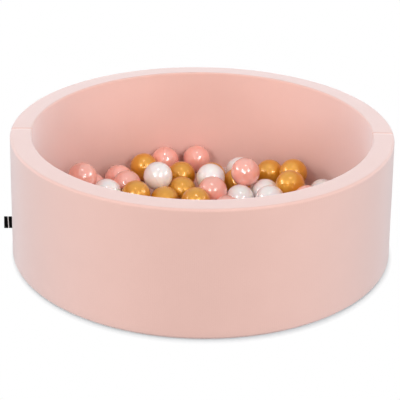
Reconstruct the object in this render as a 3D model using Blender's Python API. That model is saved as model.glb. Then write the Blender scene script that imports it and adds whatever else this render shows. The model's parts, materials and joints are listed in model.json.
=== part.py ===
"""Round foam ball pit: a foam ring and floor in a sewn cloth cover with a zip, half filled with loose balls.

Metres, +Z up. The origin is the centre of the underside. The side seams of the cover lie just in front of the X
axis, the zip runs round the back, at +Y, and the woven label is in the seam near -X.
"""

import math
from typing import NamedTuple, Optional

import bmesh
import bpy
from mathutils import Quaternion, Vector

# Foam ring in its cover
rim_outer_radius = 0.450
wall_thickness = 0.050
pit_height = 0.300
foot_flare = 0.010
floor_height = 0.025
cloth_thickness = 0.0015
rim_outer_fillet = 0.007
rim_inner_fillet = 0.0035
foot_fillet = 0.005
seam_gap = 0.0003
seam_forward = 0.022
seat_gap = 0.0003
half_turn_steps = 30
fillet_steps = 4
panel_edge_fillet = 0.0006

# Balls
ball_diameter = 0.074
ball_gap = 0.0001
ball_segments = 12
ball_rings = 8

# Zip round the back of the foot
zip_centre_height = 0.0185
tape_start_steps = 4
coil_start_steps = 5
coil_width = 0.0044
coil_depth = 0.0016
coil_chamfer = 0.0005
tape_width = 0.0085
tape_thickness = 0.0008
stop_length = 0.0035
stop_proud = 0.0006
slider_length = 0.0095
slider_wall = 0.0011
slider_clearance = 0.0004
bail_width = 0.0018
bail_bar = 0.0009
bail_window_height = 0.0022
bail_window_length = 0.0036
puller_thickness = 0.0010
puller_width = 0.0066
puller_length = 0.0210
puller_arm = 0.0018
puller_tip_chamfer = 0.0018

# Woven label in the left side seam
label_reach = 0.0212
label_height = 0.031
label_thickness = 0.0014
label_centre_height = 0.0545
label_round_steps = 6

# Plan places of the balls, as shares of the inner radius of the rim: (colour, x share, y share). A ball is set
# down on what already lies under it, so those that carry others come first.
PINK, WHITE, GOLD = "pink", "white", "gold"
ball_place_shares = (
    (GOLD, -0.6800, 0.0850),
    (WHITE, -0.4625, 0.0500),
    (WHITE, -0.0750, -0.0600),
    (PINK, 0.0875, -0.1600),
    (GOLD, 0.3300, -0.0550),
    (PINK, 0.7625, -0.0075),
    (GOLD, -0.2625, 0.0250),
    (WHITE, -0.8625, -0.0500),
    (PINK, -0.5875, -0.1125),
    (PINK, -0.3875, -0.1625),
    (WHITE, -0.1875, -0.2125),
    (GOLD, 0.0000, -0.3375),
    (WHITE, 0.2750, -0.2500),
    (PINK, 0.5125, -0.1375),
    (WHITE, 0.6875, -0.2125),
    (GOLD, 0.4625, -0.3500),
    (PINK, -0.5450, 0.5700),
    (PINK, -0.0350, 0.9250),
    (GOLD, -0.3900, 0.7675),
    (PINK, -0.2500, 0.8900),
    (PINK, -0.7100, 0.4350),
    (GOLD, -0.1350, 0.6375),
    (GOLD, 0.0675, 0.6275),
    (GOLD, 0.4525, 0.6900),
    (WHITE, 0.2525, 0.7250),
    (GOLD, 0.2325, 0.5375),
    (GOLD, -0.1250, 0.3925),
    (GOLD, -0.2325, 0.2400),
    (PINK, 0.1600, 0.1125),
    (WHITE, 0.2450, 0.2800),
    (WHITE, 0.4100, 0.3725),
    (WHITE, 0.7800, 0.3850),
    (GOLD, -0.0350, 0.1125),
    (PINK, -0.4800, 0.4000),
    (GOLD, -0.4125, 0.2225),
    (WHITE, -0.5975, 0.2450),
    (PINK, -0.7550, 0.3075),
    (WHITE, -0.2800, 0.3925),
    (GOLD, 0.6025, 0.5925),
    (WHITE, 0.4300, 0.1925),
    (PINK, 0.0700, 0.2675),
    (WHITE, 0.0575, 0.4550),
    (PINK, 0.2800, 0.4050),
    (GOLD, 0.5625, 0.3150),
    (PINK, 0.6600, 0.1300),
)

# Sizes that follow from those above
rim_inner_radius = rim_outer_radius - wall_thickness
step_angle = math.pi / half_turn_steps
tape_steps = half_turn_steps - 2 * tape_start_steps
coil_steps = half_turn_steps - 2 * coil_start_steps
foam_foot_height = cloth_thickness + seat_gap
seam_turn = math.asin(seam_forward / rim_outer_radius)
back_step_angle = (math.pi + 2 * seam_turn) / half_turn_steps
facet_share = math.cos(back_step_angle / 2)
half_turns = {
    "front": (math.pi + seam_turn, math.pi - 2 * seam_turn),
    "back": (-seam_turn, math.pi + 2 * seam_turn),
}


def lean(height):
    """How far the wall stands outwards of its rim at a height."""
    return foot_flare * (1 - height / pit_height)


def outer_radius(height):
    """Outside radius of the cover."""
    return rim_outer_radius + lean(height)


def inner_radius(height):
    """Inside radius of the cover."""
    return rim_inner_radius + lean(height)


class Ball(NamedTuple):
    """A ball at rest: its colour, its centre, and the number of the ball that carries it, if one does."""

    colour: str
    centre: Vector
    carrier: Optional[int]


def clear_scene():
    """Remove every object, mesh and material that the file opened with."""
    for block in (bpy.data.objects, bpy.data.meshes, bpy.data.materials):
        for item in list(block):
            block.remove(item)


def make_material(name, colour, roughness, metallic=0.0):
    """A Principled material from a linear colour."""
    material = bpy.data.materials.new(name)
    material.use_nodes = True
    shader = material.node_tree.nodes["Principled BSDF"]
    shader.inputs["Base Color"].default_value = (*colour, 1.0)
    shader.inputs["Roughness"].default_value = roughness
    shader.inputs["Metallic"].default_value = metallic
    return material


def add_object(name, mesh_builder, material, smooth_angle=math.radians(40)):
    """Turn a bmesh into a named object with outward faces and soft shading on its round parts."""
    bmesh.ops.recalc_face_normals(mesh_builder, faces=mesh_builder.faces)
    mesh = bpy.data.meshes.new(name)
    mesh_builder.to_mesh(mesh)
    mesh_builder.free()
    mesh.shade_smooth()
    mesh.set_sharp_from_angle(angle=smooth_angle)
    mesh.materials.append(material)
    item = bpy.data.objects.new(name, mesh)
    bpy.context.scene.collection.objects.link(item)
    return item


def hinge_empty(name, place, angle=0):
    """An empty on a joint's upright axis, turned to the piece's direction."""
    empty = bpy.data.objects.new(name, None)
    empty.location = place
    empty.rotation_euler.z = angle
    bpy.context.scene.collection.objects.link(empty)
    return empty


def spun_solid(name, outline, start, sweep, steps, material):
    """Spin a closed outline of (radius, height) points about the Z axis.

    A full turn closes on itself, and a part turn keeps its two flat ends.
    """
    shape = bmesh.new()
    direction = Vector((math.cos(start), math.sin(start), 0))
    corners = [shape.verts.new(direction * radius + Vector((0, 0, height))) for radius, height in outline]
    face = shape.faces.new(corners)
    whole_turn = math.isclose(sweep, 2 * math.pi)
    bmesh.ops.spin(
        shape,
        geom=[face, *face.edges, *corners],
        axis=(0, 0, 1),
        cent=(0, 0, 0),
        angle=sweep,
        steps=steps,
        use_merge=whole_turn,
    )
    return add_object(name, shape, material)


def disc_solid(name, outline, material):
    """A turned disc from (radius, height) points that run from its top centre to its bottom centre."""
    shape = bmesh.new()
    rings = []
    for radius, height in outline:
        turns = range(2 * half_turn_steps)
        rings.append([
            shape.verts.new((radius * math.cos(step_angle * n), radius * math.sin(step_angle * n), height))
            for n in turns
        ])
    for upper, lower in zip(rings, rings[1:]):
        for n in range(len(upper)):
            after = (n + 1) % len(upper)
            shape.faces.new((upper[n], upper[after], lower[after], lower[n]))
    shape.faces.new(rings[0])
    shape.faces.new(reversed(rings[-1]))
    return add_object(name, shape, material)


def arc_points(centre, radius, start, end, steps):
    """Points along an arc in the (radius, height) plane."""
    turns = (start + (end - start) * n / steps for n in range(steps + 1))
    return [(centre[0] + radius * math.cos(turn), centre[1] + radius * math.sin(turn)) for turn in turns]


def wall_line(inset):
    """The wall's section from under its rounded foot over the rim to its inner foot, drawn in by an inset.

    The section leans out towards the foot, so each point is moved out by the lean at its height.
    """
    top = pit_height - inset
    outer = rim_outer_radius - inset
    inner = rim_inner_radius + inset
    outer_round = rim_outer_fillet - inset
    inner_round = rim_inner_fillet - inset
    foot_round = foot_fillet - inset
    foot_centre = (rim_outer_radius - foot_fillet, foam_foot_height + foot_fillet)
    line = arc_points(foot_centre, foot_round, -math.pi / 2, 0, fillet_steps)
    line += arc_points((outer - outer_round, top - outer_round), outer_round, 0, math.pi / 2, fillet_steps)
    line += arc_points((inner + inner_round, top - inner_round), inner_round, math.pi / 2, math.pi, fillet_steps)
    line.append((inner, foam_foot_height))
    if inset > cloth_thickness:
        step = rim_outer_radius - foot_fillet - seat_gap
        line += [(step, foam_foot_height), (step, foam_foot_height + inset)]
    return [(radius + lean(height), height) for radius, height in line]


def build_halves(name, outline, material):
    """A front and a back length of the wall, parted by a thin gap at the side seams."""
    seam_angle = seam_gap / 2 / rim_inner_radius
    for side, (start, sweep) in half_turns.items():
        spun_solid(
            f"{name}_{side}", outline, start + seam_angle, sweep - 2 * seam_angle, half_turn_steps, material
        )


def build_cover(cloth):
    """The two half sleeves of the cover, seamed at the sides, and its base and floor panels."""
    outside = wall_line(0)
    inside = wall_line(cloth_thickness)
    build_halves("cover", outside + inside[::-1], cloth)
    base_radius = outer_radius(0) - foot_fillet
    disc_solid(
        "base_panel",
        [
            (base_radius - panel_edge_fillet, cloth_thickness),
            (base_radius, cloth_thickness - panel_edge_fillet),
            (base_radius, panel_edge_fillet),
            (base_radius - panel_edge_fillet, 0),
        ],
        cloth,
    )
    panel_radius = inner_radius(floor_height) * facet_share - seat_gap
    disc_solid(
        "floor_panel",
        [
            (panel_radius - panel_edge_fillet, floor_height),
            (panel_radius, floor_height - panel_edge_fillet),
            (panel_radius, floor_height - cloth_thickness),
        ],
        cloth,
    )


def build_foam(foam):
    """The two bent strips of the wall, butted under the side seams, and the disc of the floor."""
    build_halves("foam_wall", wall_line(cloth_thickness + seat_gap), foam)
    top = floor_height - cloth_thickness - seat_gap
    radius = inner_radius(floor_height) * facet_share - seat_gap
    disc_solid("foam_floor", [(radius, top), (radius, foam_foot_height)], foam)


def wall_band(name, lower, upper, near, far, start, sweep, steps, material, chamfer=0.0):
    """A band that follows the leaning outside of the wall.

    near and far are distances out from the wall, and chamfer breaks the two outer edges.
    """
    outline = [
        (outer_radius(lower) + near, lower),
        (outer_radius(lower) + far - chamfer, lower),
        (outer_radius(lower) + far, lower + chamfer),
        (outer_radius(upper) + far, upper - chamfer),
        (outer_radius(upper) + far - chamfer, upper),
        (outer_radius(upper) + near, upper),
    ]
    if not chamfer:
        outline = [outline[0], outline[1], outline[4], outline[5]]
    return spun_solid(name, outline, start, sweep, steps, material)


def build_zip(tape, metal):
    """Two tapes, the coil between them, its end stops, and the slider with its puller."""
    wall = outer_radius(zip_centre_height)
    coil_low = zip_centre_height - coil_width / 2
    coil_high = zip_centre_height + coil_width / 2
    tape_start = tape_start_steps * back_step_angle - seam_turn
    tape_sweep = tape_steps * back_step_angle
    tape_far = seat_gap + tape_thickness
    wall_band("zip_tape_lower", coil_low - seat_gap - tape_width, coil_low - seat_gap, seat_gap, tape_far,
              tape_start, tape_sweep, tape_steps, tape)
    wall_band("zip_tape_upper", coil_high + seat_gap, coil_high + seat_gap + tape_width, seat_gap, tape_far,
              tape_start, tape_sweep, tape_steps, tape)
    coil_start = coil_start_steps * back_step_angle - seam_turn
    coil_sweep = coil_steps * back_step_angle
    wall_band("zip_coil", coil_low, coil_high, seat_gap, seat_gap + coil_depth, coil_start, coil_sweep,
              coil_steps, tape, coil_chamfer)
    stop_angle = stop_length / wall
    gap_angle = seat_gap / wall
    stop_starts = (
        ("zip_stop_near", coil_start - gap_angle - stop_angle),
        ("zip_stop_far", coil_start + coil_sweep + gap_angle),
    )
    for name, start in stop_starts:
        wall_band(name, coil_low, coil_high, seat_gap, seat_gap + coil_depth + stop_proud, start, stop_angle, 1,
                  metal, coil_chamfer)
    build_slider(metal, coil_start)


def box_shape(low, high):
    """A bmesh box between two corners."""
    shape = bmesh.new()
    bmesh.ops.create_cube(shape, size=1)
    centre = (Vector(low) + Vector(high)) / 2
    size = Vector(high) - Vector(low)
    bmesh.ops.scale(shape, vec=size, verts=shape.verts)
    bmesh.ops.translate(shape, vec=centre, verts=shape.verts)
    return shape


def extruded_outline(points, depth_vector):
    """A closed outline of points pushed along a vector into a solid."""
    shape = bmesh.new()
    face = shape.faces.new([shape.verts.new(point) for point in points])
    pushed = bmesh.ops.extrude_face_region(shape, geom=[face])
    moved = [item for item in pushed["geom"] if isinstance(item, bmesh.types.BMVert)]
    bmesh.ops.translate(shape, vec=depth_vector, verts=moved)
    return shape


def combine(target, other, operation):
    """Join or cut one object with another through a Boolean that stays live."""
    other.hide_render = True
    other.display_type = "WIRE"
    modifier = target.modifiers.new(operation.lower(), "BOOLEAN")
    modifier.operation = operation
    modifier.object = other


def build_slider(metal, coil_start):
    """The slider straddles the coil and turns about the pit's axis. Its puller turns on the slider's bail.

    Both are drawn with X outwards from the wall, Y along the coil and Z up, at the height of the coil.
    """
    wall = outer_radius(zip_centre_height)
    half_length = slider_length / 2
    tape_face = wall + seat_gap + tape_thickness + slider_clearance
    coil_face = wall + seat_gap + coil_depth + slider_clearance
    plate_face = coil_face + slider_wall
    half_channel = coil_width / 2 + slider_clearance
    half_height = half_channel + slider_wall
    lean_room = foot_flare * half_height / pit_height
    angle = coil_start + half_length / wall
    section = [
        (tape_face + lean_room, -half_height),
        (plate_face, -half_height),
        (plate_face, half_height),
        (tape_face + lean_room, half_height),
        (tape_face + lean_room, half_channel),
        (coil_face, half_channel),
        (coil_face, -half_channel),
        (tape_face + lean_room, -half_channel),
    ]
    axis = hinge_empty("slider_axis", (0, 0, zip_centre_height), angle)
    body = extruded_outline([(x, -half_length, z) for x, z in section], (0, slider_length, 0))
    slider = add_object("zip_slider", body, metal)
    slider.parent = axis
    bail_top = plate_face + bail_window_height + bail_bar
    half_bail = bail_window_length / 2 + bail_bar
    arch = [
        (plate_face - slider_wall / 2, -half_bail),
        (bail_top, -half_bail),
        (bail_top, half_bail),
        (plate_face - slider_wall / 2, half_bail),
        (plate_face - slider_wall / 2, bail_window_length / 2),
        (plate_face + bail_window_height, bail_window_length / 2),
        (plate_face + bail_window_height, -bail_window_length / 2),
        (plate_face - slider_wall / 2, -bail_window_length / 2),
    ]
    bail_shape = extruded_outline([(x, y, -bail_width / 2) for x, y in arch], (0, 0, bail_width))
    bail = add_object("bail_helper", bail_shape, metal)
    bail.parent = axis
    combine(slider, bail, "UNION")
    hinge = hinge_empty("puller_axis", (plate_face + bail_window_height / 2, 0, 0))
    hinge.parent = axis
    build_puller(metal, hinge)


def build_puller(metal, hinge):
    """A flat tab whose window leaves a bar that hangs in the bail, with its tip chamfered."""
    half_thick = puller_thickness / 2
    half_width = puller_width / 2
    tip = puller_length - half_thick
    outline = [
        (-half_thick, -half_width),
        (tip - puller_tip_chamfer, -half_width),
        (tip, -half_width + puller_tip_chamfer),
        (tip, half_width - puller_tip_chamfer),
        (tip - puller_tip_chamfer, half_width),
        (-half_thick, half_width),
    ]
    tab = extruded_outline([(-half_thick, y, z) for y, z in outline], (puller_thickness, 0, 0))
    puller = add_object("zip_puller", tab, metal)
    puller.parent = hinge
    window = box_shape(
        (-puller_thickness, half_thick, -half_width + puller_arm),
        (puller_thickness, half_thick + bail_window_length, half_width - puller_arm),
    )
    cutter = add_object("window_helper", window, metal)
    cutter.parent = hinge
    combine(puller, cutter, "DIFFERENCE")


def build_label(woven):
    """The folded tab stands out of the left side seam. Its root is round about its hinge."""
    low = label_centre_height - label_height / 2
    half_thick = label_thickness / 2
    root = outer_radius(low) + seat_gap + half_thick
    turns = (math.pi / 2 + math.pi * n / label_round_steps for n in range(label_round_steps + 1))
    outline = [(half_thick * math.cos(turn), half_thick * math.sin(turn), 0) for turn in turns]
    tip = label_reach - half_thick
    outline += [(tip, -half_thick, 0), (tip, half_thick, 0)]
    shape = extruded_outline(outline, (0, 0, label_height))
    label = add_object("side_label", shape, woven)
    turn = math.pi + seam_turn
    label.location = (root * math.cos(turn), root * math.sin(turn), low)
    label.rotation_euler.z = turn


def resting_place(place, settled):
    """The ball centre's height at rest over a plan place, and the number of the ball that carries it, if any."""
    reach = ball_diameter + ball_gap
    height = floor_height + seat_gap + ball_diameter / 2
    carrier = None
    for number, other in enumerate(settled):
        apart = (place - other.centre.xy).length
        if apart < reach:
            over = other.centre.z + math.sqrt(reach * reach - apart * apart)
            if over > height:
                height = over
                carrier = number
    return height, carrier


def settled_balls():
    """Each ball at rest. A ball that would reach into the wall is drawn in to it."""
    settled = []
    for colour, x_share, y_share in ball_place_shares:
        place = Vector((x_share, y_share)) * rim_inner_radius
        height, carrier = resting_place(place, settled)
        room = inner_radius(height) * facet_share - seat_gap - ball_diameter / 2
        if place.length > room:
            place = place.normalized() * room
            height, carrier = resting_place(place, settled)
        settled.append(Ball(colour, Vector((*place, height)), carrier))
    return settled


def ball_turn(number, balls):
    """How a ball is turned: a corner of it meets the ball that carries it, or a meridian the ball it carries."""
    ball = balls[number]
    down = Vector((0, 0, -1))
    if ball.carrier is not None:
        return down.rotation_difference(balls[ball.carrier].centre - ball.centre)
    for other in balls:
        if other.carrier == number:
            across = (other.centre - ball.centre).xy
            return Quaternion(-down, math.atan2(across.y, across.x))
    return Quaternion()


def build_balls(colours):
    """One object for each ball, with its origin at the ball's centre. Balls of a colour share a mesh."""
    balls = settled_balls()
    meshes = {}
    for number, ball in enumerate(balls):
        name = f"ball_{number + 1:02d}"
        if ball.colour in meshes:
            item = bpy.data.objects.new(name, meshes[ball.colour])
            bpy.context.scene.collection.objects.link(item)
        else:
            shape = bmesh.new()
            bmesh.ops.create_uvsphere(
                shape, u_segments=ball_segments, v_segments=ball_rings, radius=ball_diameter / 2
            )
            item = add_object(name, shape, colours[ball.colour], math.pi)
            meshes[ball.colour] = item.data
        item.location = ball.centre
        item.rotation_euler = ball_turn(number, balls).to_euler()


def main():
    """Build the pit, its zip and label, and its balls."""
    clear_scene()
    cloth = make_material("cover_jersey", (0.79, 0.53, 0.47), 0.85)
    foam = make_material("wall_foam", (0.80, 0.78, 0.70), 0.95)
    tape = make_material("zip_tape", (0.72, 0.47, 0.42), 0.75)
    metal = make_material("zip_metal", (0.62, 0.61, 0.60), 0.35, 1.0)
    woven = make_material("label_weave", (0.01, 0.01, 0.01), 0.8)
    colours = {
        PINK: make_material("ball_pink", (0.94, 0.38, 0.32), 0.28),
        WHITE: make_material("ball_white", (0.86, 0.84, 0.83), 0.25),
        GOLD: make_material("ball_gold", (0.68, 0.32, 0.09), 0.35, 0.6),
    }
    build_cover(cloth)
    build_foam(foam)
    build_zip(tape, metal)
    build_label(woven)
    build_balls(colours)


main()
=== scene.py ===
"""Dressed model of a round foam ball pit: a knitted cover over a foam ring, a zip round the foot, a woven
side label, and a heap of blow-moulded balls in pink, white and gold.

Metres, +Z up. The origin is the centre of the underside, the side seams lie just in front of the X axis, and
the photograph's camera looks along +Y from the front.
"""

from __future__ import annotations

import json
import logging
import math
from contextlib import contextmanager
from dataclasses import dataclass, field
from enum import Enum
from functools import partial
from typing import Any, Callable, Iterator, Sequence

import bmesh
import bpy
from bpy.types import Material, Node, NodeSocket, NodeTree, Object, bpy_prop_collection
from mathutils import Euler, Matrix, Vector


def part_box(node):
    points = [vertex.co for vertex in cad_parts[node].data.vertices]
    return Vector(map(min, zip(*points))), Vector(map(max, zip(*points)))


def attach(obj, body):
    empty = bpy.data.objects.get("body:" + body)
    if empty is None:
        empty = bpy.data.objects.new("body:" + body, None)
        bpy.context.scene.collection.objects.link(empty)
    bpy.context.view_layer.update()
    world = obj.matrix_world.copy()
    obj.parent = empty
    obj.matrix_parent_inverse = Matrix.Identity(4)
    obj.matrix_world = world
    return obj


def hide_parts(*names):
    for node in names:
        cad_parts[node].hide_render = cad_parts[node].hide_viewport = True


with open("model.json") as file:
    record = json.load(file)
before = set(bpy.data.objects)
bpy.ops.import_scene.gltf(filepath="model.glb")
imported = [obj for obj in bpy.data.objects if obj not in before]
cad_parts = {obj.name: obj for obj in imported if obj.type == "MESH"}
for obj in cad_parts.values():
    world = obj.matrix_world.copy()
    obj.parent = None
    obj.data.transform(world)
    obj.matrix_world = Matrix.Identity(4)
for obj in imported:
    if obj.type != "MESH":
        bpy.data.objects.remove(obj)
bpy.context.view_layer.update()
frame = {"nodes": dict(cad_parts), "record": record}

log = logging.getLogger("ball_pit")

PlaceTest = Callable[[Vector], bool]
FaceTest = Callable[[Vector, Vector], bool]
AddNode = Callable[..., bpy_prop_collection]
Inputs = Sequence[Any] | dict[str | int, Any]

# Places nearer than this are the same
NEAR = 0.0002

# A face whose normal rises by this share is level
LEVEL = 0.999

MM_PER_M = 1000


# Selecting and editing


class Element(Enum):
    """What a selection picks."""

    VERT = "verts"
    EDGE = "edges"
    FACE = "faces"


class Waste(Enum):
    """Side of a cut that is taken away: none, the one behind the plane, or the one before it."""

    NEITHER = "neither"
    INNER = "inner"
    OUTER = "outer"


def pick_only(obj: Object) -> None:
    """Select one object alone and make it active.

    Args:
        obj: The object to pick.
    """
    bpy.ops.object.select_all(action="DESELECT")
    obj.select_set(True)
    bpy.context.view_layer.objects.active = obj


def start_from(primitive: Callable[..., Any], **settings: Any) -> Object:
    """Add a primitive with nothing else selected, and put its place into its mesh.

    Args:
        primitive: The operator that adds it.
        **settings: The operator's values.

    Returns:
        The new object.
    """
    bpy.ops.object.select_all(action="DESELECT")
    primitive(**settings)
    bpy.ops.object.transform_apply(location=True, rotation=True, scale=True)
    return bpy.context.object


@contextmanager
def editing(obj: Object, action: str = "DESELECT") -> Iterator[None]:
    """Open an object in edit mode, and close it again.

    Args:
        obj: The mesh object to edit.
        action: DESELECT to start with nothing selected, SELECT to start with all.

    Yields:
        Nothing.
    """
    pick_only(obj)
    bpy.ops.object.mode_set(mode="EDIT")
    bpy.ops.mesh.select_all(action=action)
    yield
    bpy.ops.object.mode_set(mode="OBJECT")


def select_where(obj: Object, pick: Element, test: Callable[[Any], bool]) -> None:
    """Select the points, edges or faces that pass a test, and nothing else.

    Args:
        obj: The object in edit mode.
        pick: What is selected.
        test: Takes a point, an edge or a face of the open mesh.
    """
    bpy.ops.mesh.select_all(action="DESELECT")
    bpy.ops.mesh.select_mode(type=pick.name)
    shape = bmesh.from_edit_mesh(obj.data)
    for element in getattr(shape, pick.value):
        element.select_set(test(element))
    bmesh.update_edit_mesh(obj.data)


def select_points(obj: Object, test: PlaceTest, pick: Element = Element.VERT) -> None:
    """Select the points, or the edges or faces between them, whose every place passes a test."""
    select_where(obj, pick, lambda found: all(test(corner.co) for corner in getattr(found, "verts", [found])))


def select_faces(obj: Object, test: FaceTest) -> None:
    """Select the faces whose middle and normal pass a test."""
    select_where(obj, Element.FACE, lambda face: test(face.calc_center_median(), face.normal))


def scale_selected(x: float, y: float = 1, centre_x: float = 0) -> None:
    """Scale what is selected by a share along X and one along Y, about an upright line on the X axis."""
    bpy.ops.transform.resize(value=(x, y, 1), center_override=(centre_x, 0, 0))


def widen(share: float) -> None:
    """Scale what is selected away from the Z axis."""
    scale_selected(share, share)


def cut_selected(point: Sequence[float], normal: Sequence[float], waste: Waste = Waste.NEITHER) -> None:
    """Cut what is selected of the open mesh along a plane.

    Args:
        point: A point of the plane.
        normal: The plane's normal.
        waste: The side that is taken away.
    """
    bpy.ops.mesh.bisect(
        plane_co=point, plane_no=normal, use_fill=False,
        clear_inner=waste is Waste.INNER, clear_outer=waste is Waste.OUTER,
    )


def cut_level(height: float) -> None:
    """Cut the whole open mesh along the level plane at a height."""
    bpy.ops.mesh.select_all(action="SELECT")
    cut_selected((0, 0, height), (0, 0, 1))


def add_modifier(obj: Object, kind: str, **settings: Any) -> None:
    """Add a modifier with its settings and apply it.

    Args:
        obj: The object that takes it.
        kind: Blender's name of the modifier.
        **settings: Its values by name.
    """
    pick_only(obj)
    modifier = obj.modifiers.new(kind.lower(), kind)
    for name, value in settings.items():
        setattr(modifier, name, value)
    bpy.ops.object.modifier_apply(modifier=modifier.name)


def finish_shape(obj: Object, name: str, smooth_degrees: float, outward: bool = True) -> None:
    """Name a piece and shade it.

    Args:
        obj: The piece.
        name: Its name.
        smooth_degrees: Edges flatter than this are shaded round.
        outward: Whether its doubles are merged and its normals recalculated.
    """
    obj.name = name
    obj.data.name = name
    pick_only(obj)
    if outward:
        with editing(obj, "SELECT"):
            bpy.ops.mesh.remove_doubles(threshold=0.000005)
            bpy.ops.mesh.normals_make_consistent(inside=False)
    bpy.ops.object.shade_smooth_by_angle(angle=math.radians(smooth_degrees))


def thicken(cloth: Object, thickness: float, offset: float) -> None:
    """Give an open cloth its thickness, with crisp cut edges.

    Args:
        cloth: The cloth, one face thick.
        thickness: Its thickness.
        offset: -1 to keep the modelled face outside, 0 to keep it in the middle.
    """
    add_modifier(cloth, "SOLIDIFY", thickness=thickness, offset=offset)
    bpy.ops.object.shade_smooth_by_angle(angle=math.radians(60))


def lay_map(piece: Object, name: str, flatten: Callable[[Vector], Sequence[float]]) -> None:
    """Give a piece a UV map in metres.

    Args:
        piece: The piece.
        name: The map's name.
        flatten: Turns a place on the piece to one on the map.
    """
    layer = piece.data.uv_layers.new(name=name)
    for loop in piece.data.loops:
        layer.data[loop.index].uv = flatten(piece.data.vertices[loop.vertex_index].co)


def dress(obj: Object, material: Material) -> None:
    """Give a piece one material in place of what it had."""
    obj.data.materials.clear()
    obj.data.materials.append(material)


def place_piece(piece: Object, material: Material, slot: str, *nodes: str, body: str = "pit") -> None:
    """Dress a piece, let it ride on a body, and let it stand for its nodes.

    Args:
        piece: The piece.
        material: Its material.
        slot: The record's material slot. Not used.
        *nodes: The nodes that it replaces.
        body: The body that it moves with.
    """
    dress(piece, material)
    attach(piece, body)
    if nodes:
        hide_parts(*nodes)
    log.info("%s rides on %s", piece.name, body)


# Materials


def linear(hex_colour: str) -> tuple[float, float, float, float]:
    """Turn an sRGB hex colour to the linear values that a shader takes.

    Args:
        hex_colour: Six hex digits after a hash.

    Returns:
        Linear red, green and blue, and full alpha.
    """
    shares = [int(hex_colour[at:at + 2], 16) / 255 for at in (1, 3, 5)]
    red, green, blue = (s / 12.92 if s <= 0.04045 else ((s + 0.055) / 1.055) ** 2.4 for s in shares)
    return red, green, blue, 1.0


def fill_inputs(node: Node, inputs: Inputs) -> None:
    """Link a node's inputs to other nodes' outputs, or set their values.

    Args:
        node: The node.
        inputs: Values for its first inputs, or for inputs by name or number. A hex colour turns to linear.
    """
    for key, value in inputs.items() if isinstance(inputs, dict) else enumerate(inputs):
        if isinstance(value, NodeSocket):
            node.id_data.links.new(value, node.inputs[key])
        else:
            node.inputs[key].default_value = linear(value) if isinstance(value, str) else value


def add_node(tree: NodeTree, kind: str, inputs: Inputs = (), **settings: Any) -> bpy_prop_collection:
    """Add a node with its settings, its input values and the links into it.

    Inputs and outputs of the same name go by number: a Mix node that blends colours takes its share at 0 and
    the colours at 6 and 7, and gives the blend at 2. One that blends numbers takes them at 2 and 3.

    Args:
        tree: The tree that takes it.
        kind: The node's type name without ShaderNode.
        inputs: Its inputs, as for fill_inputs.
        **settings: Properties of the node itself.

    Returns:
        The node's outputs.
    """
    node = tree.nodes.new("ShaderNode" + kind)
    for name, value in settings.items():
        setattr(node, name, value)
    fill_inputs(node, inputs)
    return node.outputs


def new_material(name: str) -> tuple[Material, AddNode, Node]:
    """Start a material.

    Args:
        name: The material's name.

    Returns:
        The material, what adds a node to its tree, and its Principled shader.
    """
    material = bpy.data.materials.new(name)
    material.use_nodes = True
    tree = material.node_tree
    return material, partial(add_node, tree), tree.nodes["Principled BSDF"]


@dataclass(frozen=True)
class CottonJersey:
    """Cotton jersey, circular knitted and stretched over foam.

    Fine upright wales with small V stitches give it a soft, matt face. Where it is seen at a slant, it turns
    pale from the shader's sheen and from a painted sheen: a paler colour mixed into its face by how steeply
    it is seen.
    The wales are drawn 1.6 mm apart, a little coarser than the real 0.9 mm, so that they show close up.
    """

    name: str
    face: str
    shade: str
    # Pale colour, strength and steepness of the painted sheen, a paler tone mixed in where the cloth is seen
    # at a slant
    painted_sheen: str = "#E6DADD"
    painted_sheen_share: float = 0.6
    painted_sheen_power: float = 1.8
    wale_mm: float = 1.6
    course_mm: float = 1.2
    leg_rise: float = 1.6
    stitch_share: float = 0.3
    cloud_mm: float = 60
    cloud_share: float = 0.6
    fuzz_mm: float = 2.5
    detail: float = 3

    def make(self) -> Material:
        """Build the material, whose stitches follow the piece's own UV map.

        Returns:
            The material.
        """
        material, add, shader = new_material(self.name)
        where = add("TexCoord")
        across, along, _ = add("SeparateXYZ", [where["UV"]])
        wale = add("Math", [across, MM_PER_M / self.wale_mm, 0.5], operation="MULTIPLY_ADD")[0]
        leg = add("Math", [wale, 0.5], operation="PINGPONG")[0]
        course = add("Math", [along, math.tau * MM_PER_M / self.course_mm], operation="MULTIPLY")[0]
        row = add("Math", [leg, math.tau * self.leg_rise, course], operation="MULTIPLY_ADD")[0]
        stitch = add("Math", [row], operation="SINE")[0]
        bent = add("Math", [leg, math.pi], operation="MULTIPLY")[0]
        groove = add("Math", [bent], operation="SINE")[0]
        height = add("Math", [stitch, self.stitch_share, groove], operation="MULTIPLY_ADD")[0]
        cloudy, fuzz = (
            add("TexNoise", {"Vector": where["Object"], "Scale": MM_PER_M / size, "Detail": self.detail})[0]
            for size in (self.cloud_mm, self.fuzz_mm)
        )
        tone = add("Mix", {0: self.cloud_share, 2: fuzz, 3: cloudy})[0]
        yarn = add("Mix", {0: tone, 6: self.shade, 7: self.face}, data_type="RGBA")[2]
        # Painted sheen: the face is mixed towards the pale colour the more steeply it is seen, on top of the
        # shader's own sheen
        slant = add("LayerWeight", {"Blend": 0.5})["Facing"]
        steep = add("Math", [slant, self.painted_sheen_power], operation="POWER")[0]
        painted_sheen_mask = add("Math", [steep, self.painted_sheen_share], operation="MULTIPLY")[0]
        knit = add("Bump", {"Strength": 0.25, "Distance": 0.00025, "Height": height})[0]
        fill_inputs(shader, {
            "Base Color": add("Mix", {0: painted_sheen_mask, 6: yarn, 7: self.painted_sheen}, data_type="RGBA")[2],
            "Normal": add("Bump", {"Strength": 0.15, "Distance": 0.0008, "Height": fuzz, "Normal": knit})[0],
            "Roughness": 0.88,
            "Specular IOR Level": 0.2,
            "Sheen Weight": 0.9,
            "Sheen Roughness": 0.5,
            "Sheen Tint": "#DFDFE2",
        })
        return material


class Pigment(Enum):
    """How a ball's plastic is coloured."""

    SOLID = "solid"
    PEARL = "pearl"
    METALLIC = "metallic"


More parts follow.
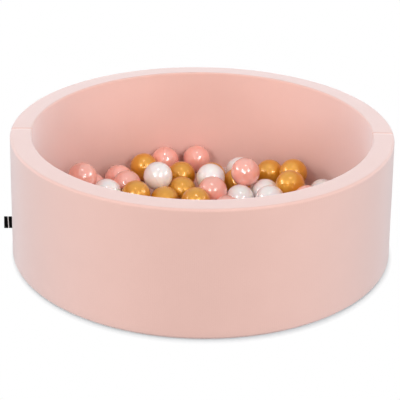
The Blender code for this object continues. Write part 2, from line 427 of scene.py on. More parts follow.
@dataclass(frozen=True)
class BlowMouldedPlastic:
    """Soft polyethylene, blow moulded in a polished mould.

    It gives sharp small highlights over a slightly waxy body that lets some light through. A metallic pigment
    adds a broad warm glow with fine flakes, and a pearl one a cool haze.
    """

    name: str
    colour: str
    deep: str
    pigment: Pigment
    roughness: float = 0.3
    cloud_mm: float = 18
    ripple_mm: float = 9
    flake_mm: float = 0.6
    flake_spread: float = 0.12

    def make(self) -> Material:
        """Build the material on the ball's own object coordinates.

        Returns:
            The material.
        """
        material, add, shader = new_material(self.name)
        where = add("TexCoord")["Object"]
        cloudy = add("TexNoise", {"Vector": where, "Scale": MM_PER_M / self.cloud_mm})[0]
        skin = add("TexNoise", {"Vector": where, "Scale": MM_PER_M / self.ripple_mm})[0]
        fill_inputs(shader, {
            "Base Color": add("Mix", {0: cloudy, 6: self.deep, 7: self.colour}, data_type="RGBA")[2],
            "Normal": add("Bump", {"Strength": 0.05, "Distance": 0.0004, "Height": skin})[0],
            "Roughness": self.roughness,
            "IOR": 1.5,
            "Coat Weight": 1.0,
            "Coat IOR": 1.85,
            "Coat Roughness": 0.06,
        })
        if self.pigment is Pigment.METALLIC:
            flake = add("TexNoise", {"Vector": where, "Scale": MM_PER_M / self.flake_mm, "Detail": 1})[0]
            least = self.roughness - self.flake_spread / 2
            rough = add("Math", [flake, self.flake_spread, least], operation="MULTIPLY_ADD")[0]
            fill_inputs(shader, {"Roughness": rough, "Metallic": 0.35, "Coat Weight": 0.45, "Coat IOR": 1.65})
            fill_inputs(shader, {"Sheen Weight": 0.2, "Sheen Roughness": 0.35, "Sheen Tint": "#FFC070"})
        else:
            fill_inputs(shader, {"Subsurface Weight": 0.25, "Subsurface Radius": (0.9, 0.45, 0.35)})
            fill_inputs(shader, {"Subsurface Scale": 0.006})
        if self.pigment is Pigment.PEARL:
            fill_inputs(shader, {"Sheen Weight": 0.1, "Sheen Roughness": 0.3})
        return material


@dataclass(frozen=True)
class WovenRibbon:
    """Polyester ribbon, woven in a tight plain weave, with one pale woven stripe.

    It gives a flat dark face with a faint cross-hatch.
    """

    name: str
    ground: str
    stripe: str
    stripe_at: float = -0.4697
    stripe_half: float = 0.0009
    thread_mm: float = 0.5

    def make(self) -> Material:
        """Build the material on object coordinates.

        Returns:
            The material.
        """
        material, add, shader = new_material(self.name)
        across, _, up = add("SeparateXYZ", [add("TexCoord")["Object"]])
        inside = add("Math", [across, self.stripe_at, self.stripe_half], operation="COMPARE")[0]
        waves = []
        for place in (across, up):
            angle = add("Math", [place, math.tau * MM_PER_M / self.thread_mm], operation="MULTIPLY")[0]
            waves.append(add("Math", [angle], operation="SINE")[0])
        weave = add("Math", waves, operation="MULTIPLY")[0]
        fill_inputs(shader, {
            "Base Color": add("Mix", {0: inside, 6: self.ground, 7: self.stripe}, data_type="RGBA")[2],
            "Normal": add("Bump", {"Strength": 0.3, "Distance": 0.0001, "Height": weave})[0],
            "Roughness": 0.7,
            "Specular IOR Level": 0.05,
        })
        return material


@dataclass(frozen=True)
class ZipTape:
    """Polyester zip tape, woven in a herringbone.

    It gives fine slanted ribs that turn at each row.
    """

    name: str
    face: str
    shade: str
    rib_mm: float = 0.8
    row_mm: float = 2.0
    rib_contrast: float = 0.35
    rib_middle: float = 0.6

    def make(self) -> Material:
        """Build the material on the band's UV map.

        Returns:
            The material.
        """
        material, add, shader = new_material(self.name)
        across, along, _ = add("SeparateXYZ", [add("TexCoord")["UV"]])
        up = add("Math", [along, MM_PER_M], operation="MULTIPLY")[0]
        fold = add("Math", [up, self.row_mm], operation="PINGPONG")[0]
        slant = add("Math", [across, MM_PER_M, fold], operation="MULTIPLY_ADD")[0]
        angle = add("Math", [slant, math.tau / self.rib_mm], operation="MULTIPLY")[0]
        rib = add("Math", [angle], operation="SINE")[0]
        share = add("Math", [rib, self.rib_contrast, self.rib_middle], operation="MULTIPLY_ADD")[0]
        fill_inputs(shader, {
            "Base Color": add("Mix", {0: share, 6: self.shade, 7: self.face}, data_type="RGBA")[2],
            "Normal": add("Bump", {"Strength": 0.5, "Distance": 0.0001, "Height": rib})[0],
            "Roughness": 0.8,
            "Sheen Weight": 0.2,
        })
        return material


@dataclass(frozen=True)
class DrawnFibre:
    """Nylon monofilament or polyester thread, drawn and wound.

    It gives a soft gloss on each small round, with a faint change of tone.
    """

    name: str
    colour: str
    deep: str
    roughness: float = 0.4
    cloud_mm: float = 4

    def make(self) -> Material:
        """Build the material on object coordinates.

        Returns:
            The material.
        """
        material, add, shader = new_material(self.name)
        tone = add("TexNoise", {"Vector": add("TexCoord")["Object"], "Scale": MM_PER_M / self.cloud_mm})[0]
        blend = add("Mix", {0: tone, 6: self.deep, 7: self.colour}, data_type="RGBA")[2]
        fill_inputs(shader, {"Base Color": blend, "Roughness": self.roughness, "IOR": 1.53})
        return material


@dataclass(frozen=True)
class PlatedZinc:
    """Zinc, die cast and nickel plated.

    It gives a bright grey metal whose gloss is broken by faint casting ripples and rubbed spots.
    """

    name: str
    colour: str
    rubbed: str
    spot_mm: float = 1.5
    detail: float = 3
    least_rough: float = 0.2
    rough_spread: float = 0.25

    def make(self) -> Material:
        """Build the material on object coordinates.

        Returns:
            The material.
        """
        material, add, shader = new_material(self.name)
        where = add("TexCoord")["Object"]
        wear = add("TexNoise", {"Vector": where, "Scale": MM_PER_M / self.spot_mm, "Detail": self.detail})[0]
        rough = add("Math", [wear, self.rough_spread, self.least_rough], operation="MULTIPLY_ADD")[0]
        fill_inputs(shader, {
            "Base Color": add("Mix", {0: wear, 6: self.colour, 7: self.rubbed}, data_type="RGBA")[2],
            "Roughness": rough,
            "Normal": add("Bump", {"Strength": 0.2, "Distance": 0.0001, "Height": wear})[0],
            "Metallic": 1.0,
        })
        return material


@dataclass(frozen=True)
class CutFoam:
    """Polyurethane foam, foamed in a block and cut with a wire.

    It gives an open, matt face of fine cells, cream at first and yellower with age.
    """

    name: str
    colour: str
    aged: str
    cell_mm: float = 1.4
    cloud_mm: float = 50

    def make(self) -> Material:
        """Build the material on object coordinates.

        Returns:
            The material.
        """
        material, add, shader = new_material(self.name)
        where = add("TexCoord")["Object"]
        cells = add("TexVoronoi", {"Vector": where, "Scale": MM_PER_M / self.cell_mm})["Distance"]
        tone = add("TexNoise", {"Vector": where, "Scale": MM_PER_M / self.cloud_mm})[0]
        fill_inputs(shader, {
            "Base Color": add("Mix", {0: tone, 6: self.colour, 7: self.aged}, data_type="RGBA")[2],
            "Normal": add("Bump", {"Strength": 0.6, "Distance": 0.0005, "Height": cells})[0],
            "Roughness": 0.95,
        })
        return material


@dataclass(frozen=True)
class Finishes:
    """Every finish of the pit."""

    cover: CottonJersey = CottonJersey("cotton_jersey_knitted", "#EBC1B6", "#E5BAAF")
    panel: CottonJersey = CottonJersey("cotton_jersey_floor_knitted", "#E8C0B6", "#E2B8AD")
    pink: BlowMouldedPlastic = BlowMouldedPlastic(
        "polyethylene_pink_blow_moulded", "#FFB8A8", "#FCAB9B", Pigment.SOLID)
    white: BlowMouldedPlastic = BlowMouldedPlastic(
        "polyethylene_white_blow_moulded", "#FFFCFB", "#FAF5F3", Pigment.PEARL)
    gold: BlowMouldedPlastic = BlowMouldedPlastic(
        "polyethylene_gold_blow_moulded", "#E6A632", "#D99424", Pigment.METALLIC, roughness=0.36)
    ribbon: WovenRibbon = WovenRibbon("polyester_ribbon_woven", "#040304", "#F6F3F3")
    tape: ZipTape = ZipTape("polyester_zip_tape_woven", "#E2B2A6", "#CF9C90")
    coil: DrawnFibre = DrawnFibre("nylon_zip_coil_wound", "#DDA99C", "#CC978A")
    thread: DrawnFibre = DrawnFibre("polyester_thread_spun", "#E9BDB2", "#DDAEA2", roughness=0.7)
    metal: PlatedZinc = PlatedZinc("zinc_die_cast_plated", "#C9C7C4", "#A9A7A3")
    foam: CutFoam = CutFoam("polyurethane_foam_cut", "#EFE8D2", "#E4D8B6")


# Sub-assemblies


@dataclass
class PitSizes:
    """Sizes of the ring that several pieces share."""

    rim_radius: float = 0.450
    wall: float = 0.050
    height: float = 0.300
    flare: float = 0.010
    floor: float = 0.025
    cloth: float = 0.0015
    gap: float = 0.0003
    seam_forward: float = 0.022
    steps: int = 180

    @property
    def seam_turn(self) -> float:
        """Angle by which each side seam lies in front of the X axis."""
        return math.asin(self.seam_forward / self.rim_radius)

    @property
    def foot(self) -> float:
        """Height at which the cover and the foam start, above the base panel."""
        return self.cloth + self.gap

    def lean(self, height: float) -> float:
        """How far the wall stands outwards of its rim at a height."""
        return self.flare * (1 - height / self.height)

    def outer(self, height: float) -> float:
        """Outside radius at a height."""
        return self.rim_radius + self.lean(height)

    def inner(self, height: float) -> float:
        """Inside radius at a height."""
        return self.rim_radius - self.wall + self.lean(height)


@dataclass
class Assembly:
    """What the sub-assemblies share. Each builds its own pieces."""

    sizes: PitSizes
    finishes: Finishes


@dataclass
class Cover(Assembly):
    """The knitted sleeve in two halves, seamed at the sides, and the panels under and on the floor."""

    outer_round: float = 0.0048
    inner_round: float = 0.0032
    foot_round: float = 0.005
    round_steps: int = 5
    edge_profile: float = 0.42
    edge_near: float = 0.002
    seam_gap: float = 0.0003
    seam_tuck: float = 0.0016
    seam_near: float = 0.0022
    seam_far: float = 0.0065
    near_tuck_share: float = 0.25
    ring_pitch: float = 0.016
    rim_hold: float = 0.002
    billow: float = 0.0010
    billow_size: float = 0.11
    billow_middle: float = 0.4
    panel_gap: float = 0.0002
    panel_tuck: float = 0.0035
    edge_insets: tuple[float, ...] = (0.002, 0.003, 0.005)
    tuck_shares: tuple[float, ...] = (1.0, 0.45, 0.12)
    hem_width: float = 0.010
    hem_half: float = 0.0015
    hem_depth: float = 0.0004
    field_insets: tuple[float, ...] = (0.02, 0.05, 0.08, 0.09, 0.09)

    def shape_ring(self) -> Object:
        """Model the whole sleeve as an open ring that goes up the outside, over the rim and down the inside.

        Returns:
            The ring, without thickness.
        """
        size = self.sizes
        bottom, top = size.foot, size.height
        ring = start_from(
            bpy.ops.mesh.primitive_cylinder_add, vertices=size.steps, radius=size.outer(bottom),
            depth=top - bottom, location=(0, 0, (top + bottom) / 2),
        )
        with editing(ring):
            select_points(ring, lambda at: at.z > top - NEAR)
            widen(size.outer(top) / size.outer(bottom))
            select_faces(ring, lambda middle, normal: normal.z > LEVEL)
            bpy.ops.mesh.inset(thickness=size.wall)
            bpy.ops.mesh.extrude_region_move(TRANSFORM_OT_translate={"value": (0, 0, bottom - top)})
            widen(size.inner(bottom) / size.inner(top))
            select_faces(ring, lambda middle, normal: middle.z < bottom + NEAR and abs(normal.z) > LEVEL)
            bpy.ops.mesh.delete(type="ONLY_FACE")
            self.turn_under(ring)
            for radius, offset in ((size.outer(top), self.outer_round), (size.inner(top), self.inner_round)):
                select_points(ring, lambda at: self.on_edge(at, radius, top), Element.EDGE)
                bpy.ops.mesh.bevel(
                    offset=offset, segments=self.round_steps, profile=self.edge_profile, affect="EDGES"
                )
            select_faces(ring, lambda middle, normal: middle.z > top - NEAR and normal.z > LEVEL)
            bpy.ops.mesh.inset(thickness=self.rim_hold)
            self.add_rings(bottom + self.foot_round, top - self.outer_round)
        return ring

    def on_edge(self, at: Vector, radius: float, height: float) -> bool:
        """Whether a place lies on the level edge of a radius and a height."""
        return abs(at.z - height) < NEAR and abs(at.xy.length - radius) < self.edge_near

    def turn_under(self, ring: Object) -> None:
        """Turn the outer foot's edge in under the foam, and round it.

        Args:
            ring: The open ring in edit mode.
        """
        foot = self.sizes.foot
        outer = self.sizes.outer(foot)
        select_points(ring, lambda at: self.on_edge(at, outer, foot), Element.EDGE)
        bpy.ops.mesh.extrude_edges_move()
        widen((outer - self.foot_round - NEAR / 2) / outer)
        select_points(ring, lambda at: self.on_edge(at, outer, foot), Element.EDGE)
        bpy.ops.mesh.bevel(offset=self.foot_round, segments=self.round_steps, affect="EDGES")

    def add_rings(self, low: float, high: float) -> None:
        """Cut level rings round the walls, so that the cloth can swell a little.

        One more ring close under the rim keeps its rounding tight.

        Args:
            low: Height of the foot.
            high: Height where the rim's rounding starts.
        """
        count = round((high - low) / self.ring_pitch)
        for number in range(1, count):
            cut_level(low + (high - low) * number / count)
        cut_level(high - self.rim_hold)

    def halve(self, ring: Object, name: str, side: int) -> Object:
        """Take one half of the ring and tuck its cloth in at the seams.

        Args:
            ring: The whole ring.
            name: Name of the half.
            side: 1 for the back, -1 for the front.

        Returns:
            The finished half.
        """
        pick_only(ring)
        bpy.ops.object.duplicate()
        half = bpy.context.object
        with editing(half):
            self.cut_from_seams(half, side, self.seam_gap / 2, Waste.INNER if side > 0 else Waste.OUTER)
            for distance in (self.seam_near, self.seam_far):
                self.cut_from_seams(half, side, distance)
            for distance, share in ((0, 1), (self.seam_near, self.near_tuck_share)):
                select_points(half, lambda at: abs(self.off_seam(at) - distance) < NEAR)
                bpy.ops.transform.shrink_fatten(value=-self.seam_tuck * share)
        self.swell(half)
        finish_shape(half, name, smooth_degrees=50)
        lay_map(half, "knit", lambda place: self.on_cloth(place, side))
        thicken(half, self.sizes.cloth, offset=-1)
        return half

    def seam_line(self, hand: int) -> Vector:
        """Unit vector from the pit's axis towards the right seam, for hand 1, or the left one, for -1."""
        turn = self.sizes.seam_turn
        return Vector((hand * math.cos(turn), -math.sin(turn), 0))

    def off_seam(self, at: Vector) -> float:
        """Distance of a place from the nearer seam's upright plane."""
        line = self.seam_line(1 if at.x > 0 else -1)
        return abs(at.x * line.y - at.y * line.x)

    def cut_from_seams(self, ring: Object, side: int, distance: float, waste: Waste = Waste.NEITHER) -> None:
        """Cut the ring in edit mode on both hands, at a distance from the seams towards one side.

        Args:
            ring: The ring in edit mode.
            side: 1 for the back, -1 for the front.
            distance: Distance from the seam.
            waste: The side of the cut that is taken away.
        """
        for hand in (1, -1):
            line = self.seam_line(hand)
            across = Vector((-line.y, line.x, 0)) * hand
            select_points(ring, lambda at: at.x * hand > -NEAR, Element.FACE)
            cut_selected(across * side * distance, across, waste)

    def swell(self, cloth: Object) -> None:
        """Let the cloth stand a little proud in broad soft swells, as knitted cloth does over foam.

        Args:
            cloth: One half of the sleeve.
        """
        texture = bpy.data.textures.new("cloth_swell", "CLOUDS")
        texture.noise_scale = self.billow_size
        add_modifier(cloth, "DISPLACE", texture=texture, strength=self.billow, mid_level=self.billow_middle,
                     texture_coords="LOCAL")

    def on_cloth(self, place: Vector, side: int) -> tuple[float, float]:
        """Find a place of a half on its flat cloth.

        Args:
            place: The place.
            side: 1 for the back, -1 for the front.

        Returns:
            The lengths round the ring, and up the outside, over the rim and down the inside.
        """
        size = self.sizes
        radius = place.xy.length
        turn = math.atan2(place.y, place.x) - side * math.pi / 2
        turn = (turn + math.pi) % math.tau - math.pi
        if radius > size.rim_radius - size.wall / 2:
            inward = size.outer(place.z) - radius
            along = place.z + (inward if place.z > size.height / 2 else -inward)
        else:
            along = 2 * size.height + size.wall - place.z - (radius - size.inner(place.z))
        return turn * size.rim_radius, along

    def shape_disc(self, name: str, radius: float, top: float, tuck: float, groove: float) -> Object:
        """Model a round panel of cloth whose edge is drawn down into its seam.

        Args:
            name: The panel's name.
            radius: Its radius.
            top: Height of its upper face.
            tuck: How far its edge is drawn down.
            groove: Depth of the stitched groove inside its hem.

        Returns:
            The panel.
        """
        disc = start_from(
            bpy.ops.mesh.primitive_circle_add, vertices=self.sizes.steps, radius=radius, fill_type="NGON",
            location=(0, 0, top),
        )
        hem_insets = (self.hem_width - self.hem_half, self.hem_half, self.hem_half)
        with editing(disc, "SELECT"):
            for inset in (*self.edge_insets, *hem_insets, *self.field_insets):
                bpy.ops.mesh.inset(thickness=inset)
            bpy.ops.mesh.poke()
            inward = 0.0
            for inset, share in zip((0.0, *self.edge_insets), self.tuck_shares):
                inward += inset
                self.lower_ring(disc, radius - inward, tuck * share)
            self.lower_ring(disc, radius - sum(self.edge_insets) - self.hem_width, groove)
        finish_shape(disc, name, smooth_degrees=60)
        lay_map(disc, "knit", lambda place: place.xy)
        thicken(disc, self.sizes.cloth, offset=-1)
        return disc

    def lower_ring(self, disc: Object, radius: float, depth: float) -> None:
        """Lower the points of a panel in edit mode that lie at a radius."""
        select_points(disc, lambda at: abs(at.xy.length - radius) < NEAR)
        bpy.ops.transform.translate(value=(0, 0, -depth))

    def build(self) -> None:
        size = self.sizes
        cloth = self.finishes.cover.make()
        ring = self.shape_ring()
        for node, side in (("cover_front", -1), ("cover_back", 1)):
            half = self.halve(ring, node + "_knit", side)
            place_piece(half, cloth, "cover_cloth", node)
        bpy.data.objects.remove(ring)
        floor_cloth = self.finishes.panel.make()
        inner = size.inner(size.floor) - self.panel_gap
        panels = (
            ("floor_panel", inner, size.floor, self.panel_tuck, self.hem_depth),
            ("base_panel", size.outer(0) - self.foot_round, size.cloth, 0, 0),
        )
        for node, radius, top, tuck, groove in panels:
            disc = self.shape_disc(node + "_knit", radius, top, tuck, groove)
            place_piece(disc, floor_cloth, "cover_cloth", node)


@dataclass
class Zip(Assembly):
    """The zip round the back of the foot: tapes with their stitching, the coil, and the metal pieces."""

    centre: float = 0.0185
    coil_width: float = 0.0044
    coil_depth: float = 0.0016
    coil_sweep: float = math.radians(123.4)
    tooth_pitch: float = 0.0015
    loop_share: float = 0.29
    wire_radius: float = 0.00038
    tape_width: float = 0.0085
    tape_thick: float = 0.0008
    tape_sweep: float = math.radians(136.1)
    tape_steps: int = 88
    tape_round: float = 0.0002
    stitch_inset: float = 0.0018
    stitch_pitch: float = 0.0034
    stitch_length: float = 0.0024
    stitch_thick: float = 0.0005
    stitch_flat_share: float = 0.8
    stitch_sweep: float = math.radians(135.1)
    metal_round: float = 0.00022

    def shape_tape(self, name: str, low: float) -> Object:
        """Model one tape as a band swept round the leaning wall, with rounded edges.

        Args:
            name: The tape's name.
            low: Height of its lower edge.

        Returns:
            The tape.
        """
        size = self.sizes
        high = low + self.tape_width
        middle = size.outer(low) + size.gap + self.tape_thick / 2
        tape = start_from(
            bpy.ops.mesh.primitive_plane_add, size=self.tape_width, rotation=(math.pi / 2, 0, 0),
            location=(middle, 0, (low + high) / 2),
        )
        with editing(tape, "SELECT"):
            scale_selected(self.tape_thick / self.tape_width, centre_x=middle)
            select_points(tape, lambda at: at.z > high - NEAR)
            bpy.ops.transform.translate(value=(size.outer(high) - size.outer(low), 0, 0))
            bpy.ops.mesh.select_all(action="SELECT")
            bpy.ops.mesh.spin(steps=self.tape_steps, angle=self.tape_sweep, center=(0, 0, 0), axis=(0, 0, 1))
        self.turn_to_back(tape)
        finish_shape(tape, name, smooth_degrees=50)
        add_modifier(tape, "BEVEL", width=self.tape_round, segments=2, limit_method="ANGLE",
                     angle_limit=math.radians(60))
        lay_map(tape, "weave", lambda place: (math.atan2(place.y, place.x) * size.rim_radius, place.z - low))
        return tape

    def turn_to_back(self, band: Object) -> None:
        """Turn a band about the pit's axis until its middle lies at the back.

        Args:
            band: The band, swept either way.
        """
        total = sum((vert.co for vert in band.data.vertices), Vector())
        turn = math.pi / 2 - math.atan2(total.y, total.x)
        band.data.transform(Matrix.Rotation(turn, 4, "Z"))

    def repeat_round(self, seed: Object, pitch: float, sweep: float) -> None:
        """Repeat a small shape at even steps round the wall, centred on the back.

        Args:
            seed: The shape, which lies at the wall on the X axis.
            pitch: Distance between copies.
            sweep: Angle that the row covers.
        """
        steps = int(sweep * self.sizes.outer(self.centre) / pitch)
        with editing(seed, "SELECT"):
            bpy.ops.mesh.spin(steps=steps, dupli=True, angle=sweep, center=(0, 0, 0), axis=(0, 0, 1))
        self.turn_to_back(seed)

    def shape_coil(self) -> Object:
        """Model the coil as two rows of small loops that reach between each other.

        Returns:
            The coil.
        """
        wall = self.sizes.outer(self.centre) + self.sizes.gap + self.coil_depth / 2
        loop_half = self.coil_width * self.loop_share
        off = self.coil_width / 2 - loop_half
        loops = [
            start_from(
                bpy.ops.mesh.primitive_torus_add, major_segments=8, minor_segments=4,
                major_radius=loop_half - self.wire_radius, minor_radius=self.wire_radius,
                location=(wall, hand * self.tooth_pitch / 4, self.centre + hand * off),
                rotation=(math.pi / 2, 0, 0),
            )
            for hand in (1, -1)
        ]
        for loop in loops:
            loop.select_set(True)
        bpy.ops.object.join()
        coil = bpy.context.object
        with editing(coil, "SELECT"):
            scale_selected(self.coil_depth / 2 / loop_half, centre_x=wall)
        self.repeat_round(coil, self.tooth_pitch, self.coil_sweep)
        finish_shape(coil, "zip_coil_loops", smooth_degrees=80, outward=False)
        return coil

    def shape_stitches(self, name: str, height: float) -> Object:
        """Model a row of lockstitch along a tape.

        Args:
            name: The row's name.
            height: Height of the row.

        Returns:
            The stitches.
        """
        wall = self.sizes.outer(height) + self.sizes.gap + self.tape_thick
        stitch = start_from(
            bpy.ops.mesh.primitive_uv_sphere_add, segments=6, ring_count=4, radius=self.stitch_thick / 2
        )
        with editing(stitch, "SELECT"):
            scale_selected(self.stitch_flat_share, self.stitch_length / self.stitch_thick)
            bpy.ops.transform.translate(value=(wall, 0, height))
        self.repeat_round(stitch, self.stitch_pitch, self.stitch_sweep)
        finish_shape(stitch, name, smooth_degrees=80, outward=False)
        return stitch

    def round_node(self, node: str) -> Object:
        """Copy a metal node and round its edges.

        Args:
            node: Name of the node.

        Returns:
            The rounded piece.
        """
        source = frame["nodes"][node]
        piece = bpy.data.objects.new(node + "_cast", source.data.copy())
        bpy.context.scene.collection.objects.link(piece)
        piece.data.transform(source.matrix_world)
        with editing(piece, "SELECT"):
            bpy.ops.mesh.remove_doubles(threshold=0.00001)
            bpy.ops.mesh.dissolve_limited(angle_limit=math.radians(1))
        add_modifier(piece, "BEVEL", width=self.metal_round, segments=3, limit_method="ANGLE",
                     angle_limit=math.radians(30))
        finish_shape(piece, node + "_cast", smooth_degrees=50, outward=False)
        return piece

    def build(self) -> None:
        """Model and dress the zip."""
        tape_cloth = self.finishes.tape.make()
        thread = self.finishes.thread.make()
        reach = self.coil_width / 2 + self.sizes.gap
        low, high = self.centre - reach - self.tape_width, self.centre + reach
        rows = (
            ("zip_tape_lower", low, low + self.stitch_inset),
            ("zip_tape_upper", high, high + self.tape_width - self.stitch_inset),
        )
        for node, bottom, row in rows:
            place_piece(self.shape_tape(node + "_woven", bottom), tape_cloth, "zip_tape", node)
            place_piece(self.shape_stitches(node + "_stitches", row), thread, "zip_tape")
        place_piece(self.shape_coil(), self.finishes.coil.make(), "zip_coil", "zip_coil")
        metal = self.finishes.metal.make()
        bodies = (("stop_near", "pit"), ("stop_far", "pit"), ("slider", "slider"), ("puller", "puller"))
        for name, body in bodies:
            place_piece(self.round_node("zip_" + name), metal, "zip_metal", "zip_" + name, body=body)


@dataclass
class SideLabel(Assembly):
    """The folded woven tab in the left side seam."""

    hinge: float = 0.4597
    reach: float = 0.0212
    low: float = 0.039
    height: float = 0.031
    half_gap: float = 0.0003
    cloth: float = 0.0004
    bow: float = 0.0012
    slant: float = 0.0012
    sunk: float = 0.0008
    still_share: float = 0.15
    leg_steps: int = 11
    fold_steps: int = 6
    rows: int = 8

    @property
    def root(self) -> float:
        """Radius at which the ribbon comes out of the seam, at its lower edge."""
        return self.sizes.outer(self.low) - self.sunk

    @property
    def length(self) -> float:
        """Length of one leg of the ribbon, from the seam to its folded end."""
        return self.hinge + self.reach - self.root

    @property
    def fold(self) -> float:
        """Place on the X axis where the ribbon starts to fold round."""
        return -self.hinge - self.reach + self.half_gap + self.cloth / 2

    def shape(self) -> Object:
        """Model the ribbon, from an upright edge at the seam: out, round its fold and back.

        Returns:
            The ribbon.
        """
        half, front = self.height / 2, -self.half_gap - self.cloth / 2
        ribbon = start_from(
            bpy.ops.mesh.primitive_plane_add, size=self.height, rotation=(math.pi / 2, 0, 0),
            location=(half - self.root, front, self.low + half),
        )
        with editing(ribbon):
            select_points(ribbon, lambda at: at.x > NEAR - self.root)
            bpy.ops.mesh.delete(type="VERT")
            bpy.ops.mesh.select_all(action="SELECT")
            self.run_out((self.fold + self.root) / self.leg_steps)
            bpy.ops.mesh.spin(steps=self.fold_steps, angle=math.pi, center=(self.fold, 0, 0), axis=(0, 0, -1))
            self.run_out((-self.root - self.fold) / self.leg_steps)
            for level in range(1, self.rows):
                cut_level(self.low + self.height * level / self.rows)
        return ribbon

    def run_out(self, step: float) -> None:
        """Extrude the selected end of the ribbon in even steps along the X axis."""
        for _ in range(self.leg_steps):
            bpy.ops.mesh.extrude_region_move(TRANSFORM_OT_translate={"value": (step, 0, 0)})

    def bend(self, ribbon: Object) -> None:
        """Set the root along the leaning wall, and let the free end hang a little and bow to the front.

        Args:
            ribbon: The straight ribbon.
        """
        for vert in ribbon.data.vertices:
            share = min(1, max(0, (-self.root - vert.co.x) / (-self.root - self.fold)))
            rise = (vert.co.z - self.low) / self.height
            vert.co.x += (self.sizes.lean(self.low) - self.sizes.lean(vert.co.z)) * (1 - share)
            vert.co.x += self.slant * share * (rise - 0.5)
            vert.co.y += self.bow * share ** 2 * (rise - self.still_share)

    def build(self) -> None:
        ribbon = self.shape()
        self.bend(ribbon)
        ribbon.data.transform(Matrix.Rotation(self.sizes.seam_turn, 4, "Z"))
        finish_shape(ribbon, "side_label_ribbon", smooth_degrees=60)
        thicken(ribbon, self.cloth, offset=0)
        place_piece(ribbon, self.finishes.ribbon.make(), "label_weave", "side_label", body="label")
        2 * self.length


@dataclass
class FoamCore(Assembly):
    """The foam inside the cover, which keeps its solids."""

    nodes: tuple[str, ...] = ("foam_wall_front", "foam_wall_back", "foam_floor")

    def build(self) -> None:
        """Dress the foam."""
        foam = self.finishes.foam.make()
        for node in self.nodes:
            dress(frame["nodes"][node], foam)
            log.info("%s keeps its solid", node)


@dataclass
class BallHeap(Assembly):
    """The loose balls, each a moulded sphere with a parting line and two small vent marks."""

    diameter: float = 0.074
    segments: int = 48
    rings: int = 24
    parting_half: float = 0.0007
    parting_proud: float = 0.00018
    vent_insets: tuple[float, ...] = (0.0012, 0.0006)
    vent_depth: float = 0.0005
    pole_share: float = 0.98
    turns: tuple[float, float, float] = (2.399, 1.171, 0.737)

    def shape_ball(self) -> Object:
        """Model one ball about the origin.

        Returns:
            The ball.
        """
        radius = self.diameter / 2
        ball = start_from(
            bpy.ops.mesh.primitive_uv_sphere_add, segments=self.segments, ring_count=self.rings, radius=radius
        )
        with editing(ball):
            select_points(ball, lambda at: abs(at.z) < NEAR, Element.EDGE)
            bpy.ops.mesh.bevel(offset=self.parting_half, segments=2, affect="EDGES")
            select_points(ball, lambda at: abs(at.z) < NEAR)
            widen(1 + self.parting_proud / radius)
            for hand in (1, -1):
                select_points(ball, lambda at: at.z * hand > radius * self.pole_share, Element.FACE)
                for inset in self.vent_insets:
                    bpy.ops.mesh.inset(thickness=inset)
                bpy.ops.transform.translate(value=(0, 0, -hand * self.vent_depth))
        finish_shape(ball, "ball_pattern", smooth_degrees=60)
        return ball

    def body_of(self, node: str) -> str:
        """Name of the body that a node belongs to."""
        bodies = frame["record"]["behaviour"]["bodies"]
        return next(body for body, nodes in bodies.items() if node in nodes)

    def build(self) -> None:
        """Copy the ball to each place, turned its own way, and dress it."""
        pattern = self.shape_ball()
        plastics = {"ball_" + key: getattr(self.finishes, key).make() for key in ("pink", "white", "gold")}
        slots = {part["node"]: part["material_slot"] for part in frame["record"]["subparts"]}
        nodes = sorted(node for node in frame["nodes"] if node.startswith("ball_"))
        for number, node in enumerate(nodes):
            low, high = (Vector(corner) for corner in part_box(node))
            turn = Euler([number * step for step in self.turns]).to_matrix().to_4x4()
            mesh = pattern.data.copy()
            mesh.transform(Matrix.Translation((low + high) / 2) @ turn)
            ball = bpy.data.objects.new(node + "_shell", mesh)
            mesh.name = ball.name
            bpy.context.scene.collection.objects.link(ball)
            place_piece(ball, plastics[slots[node]], slots[node], node, body=self.body_of(node))
        bpy.data.objects.remove(pattern)


# Studio


@dataclass(frozen=True)
class Softbox:
    """A square lamp that points at the pit."""

    name: str
    azimuth: float
    elevation: float
    side: float
    power: float
    distance: float = 9

    def build(self, target: Vector) -> None:
        """Hang the lamp.

        Args:
            target: What it points at.
        """
        away = Vector((0, -1, 0))
        away.rotate(Euler((-math.radians(self.elevation), 0, math.radians(self.azimuth))))
        light = bpy.data.lights.new(self.name, "AREA")
        light.size = self.side
        light.energy = self.power
        lamp = bpy.data.objects.new(self.name, light)
        lamp.location = target + away * self.distance
        lamp.rotation_euler = away.to_track_quat("Z", "Y").to_euler()
        bpy.context.scene.collection.objects.link(lamp)


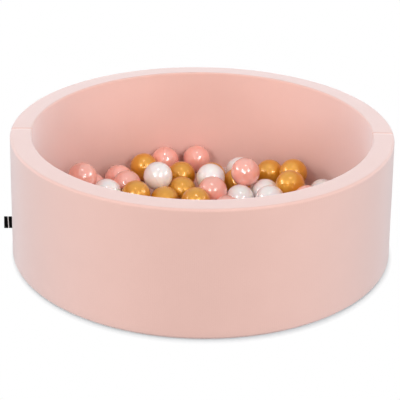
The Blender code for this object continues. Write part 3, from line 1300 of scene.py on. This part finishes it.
@dataclass
class Studio:
    """A white floor and sky, far softboxes all round, three small ones, and the photograph's camera."""

    lamps: Sequence[Softbox] = (
        Softbox("spot_top", 0, 79, 1.0, 46),
        Softbox("spot_left", -33, 38, 1.3, 112),
        Softbox("spot_right", 34, 37, 1.3, 112),
        Softbox("front_left", -23, 22, 3.0, 200),
        Softbox("front_right", 23, 22, 3.0, 200),
        Softbox("side_left", -88, 18, 4.0, 335),
        Softbox("side_right", 86, 18, 4.0, 300),
        Softbox("back_left", -140, 9, 2.4, 195),
        Softbox("back_right", 142, 9, 2.4, 185),
    )
    target: Vector = field(default_factory=lambda: Vector((0, 0, 0.12)))
    white: str = "#FFFFFF"
    ambient: float = 0.24
    floor_side: float = 16
    # Painted shadow: the floor's colour as the camera sees it near the foot, darker and cooler than white
    painted_shadow_tint: str = "#DFE6E9"
    bounce: str = "#8A8A8A"
    # Ring round the foot, shifted to the front, where the painted shadow shows
    shadow_centre: tuple[float, float, float] = (0.002, -0.012, 0.0)
    shadow_near: float = 0.450
    shadow_far: float = 0.465
    glow_least: float = 0.1
    camera_place: tuple[float, float, float] = (0.0, -2.51905, 1.29406)
    camera_degrees: tuple[float, float, float] = (64.83073, -0.66864, 0.39011)
    lens_mm: float = 102.87
    sensor_mm: float = 36

    def seen_directly(self, add: AddNode) -> NodeSocket:
        """1 for the camera, for mirrors and for glass, and 0 for light that falls on the pit.

        Args:
            add: What adds a node to the tree.

        Returns:
            The socket.
        """
        path = add("LightPath")
        gloss = add("Math", [path["Is Glossy Ray"], path["Is Transmission Ray"]], operation="MAXIMUM")[0]
        return add("Math", [path["Is Camera Ray"], gloss], operation="MAXIMUM")[0]

    def build_world(self) -> None:
        """Set the sky: white where it is seen, and a plain even light on the pit."""
        world = bpy.data.worlds.new("studio_white")
        world.use_nodes = True
        bpy.context.scene.world = world
        world.node_tree.nodes.clear()
        add = partial(add_node, world.node_tree)
        fill = add("Background", [self.white, self.ambient])[0]
        white = add("Background", [self.white, 1.0])[0]
        both = add("MixShader", [self.seen_directly(add), fill, white])[0]
        add("OutputWorld", {"Surface": both})

    def build_floor(self) -> None:
        """Lay the white floor, with a narrow shadow at the pit's foot to the front that is partly rendered
        and partly painted.
        """
        floor = start_from(bpy.ops.mesh.primitive_plane_add, size=self.floor_side)
        floor.name = "studio_floor"
        material, add, shader = new_material("paper_sweep_matt")
        seen = self.seen_directly(add)
        # The camera sees the painted shadow tint, and light that bounces off the floor takes the grey
        paper = add("Mix", {0: seen, 6: self.bounce, 7: self.painted_shadow_tint}, data_type="RGBA")[2]
        fill_inputs(shader, {"Base Color": paper, "Roughness": 1.0, "Specular IOR Level": 0.0})
        place = add("TexCoord")["Object"]
        # Painted shadow: the white glow fades in a narrow ring round the foot, shifted to the front, so that
        # the tint and the rendered shade show there
        away = add("VectorMath", [place, self.shadow_centre], operation="DISTANCE")["Value"]
        ramp = add("MapRange", [away, self.shadow_near, self.shadow_far, self.glow_least, 1.0])[0]
        share = add("Math", [seen, ramp], operation="MULTIPLY")[0]
        glow = add("Emission", [self.white, 1.0])[0]
        both = add("MixShader", [share, shader.outputs[0], glow])[0]
        fill_inputs(material.node_tree.nodes["Material Output"], {"Surface": both})
        floor.data.materials.append(material)

    def build_camera(self) -> None:
        """Stand the camera where the photograph was taken from."""
        lens = bpy.data.cameras.new("photo_camera")
        lens.lens = self.lens_mm
        lens.sensor_width = self.sensor_mm
        camera = bpy.data.objects.new("photo_camera", lens)
        camera.location = self.camera_place
        camera.rotation_euler = [math.radians(angle) for angle in self.camera_degrees]
        bpy.context.scene.collection.objects.link(camera)
        bpy.context.scene.camera = camera

    def build(self) -> None:
        """Set up the studio."""
        bpy.context.scene.view_settings.view_transform = "Standard"
        self.build_world()
        self.build_floor()
        self.build_camera()
        for lamp in self.lamps:
            lamp.build(self.target)
        log.info("studio with %d softboxes", len(self.lamps))


def main() -> None:
    """Build the studio and every sub-assembly in order."""
    logging.basicConfig(level=logging.INFO, format="%(name)s: %(message)s")
    bpy.ops.object.select_all(action="DESELECT")
    Studio().build()
    sizes, finishes = PitSizes(), Finishes()
    for assembly in (FoamCore, Cover, Zip, SideLabel, BallHeap):
        assembly(sizes, finishes).build()


if __name__ == "__main__":
    main()
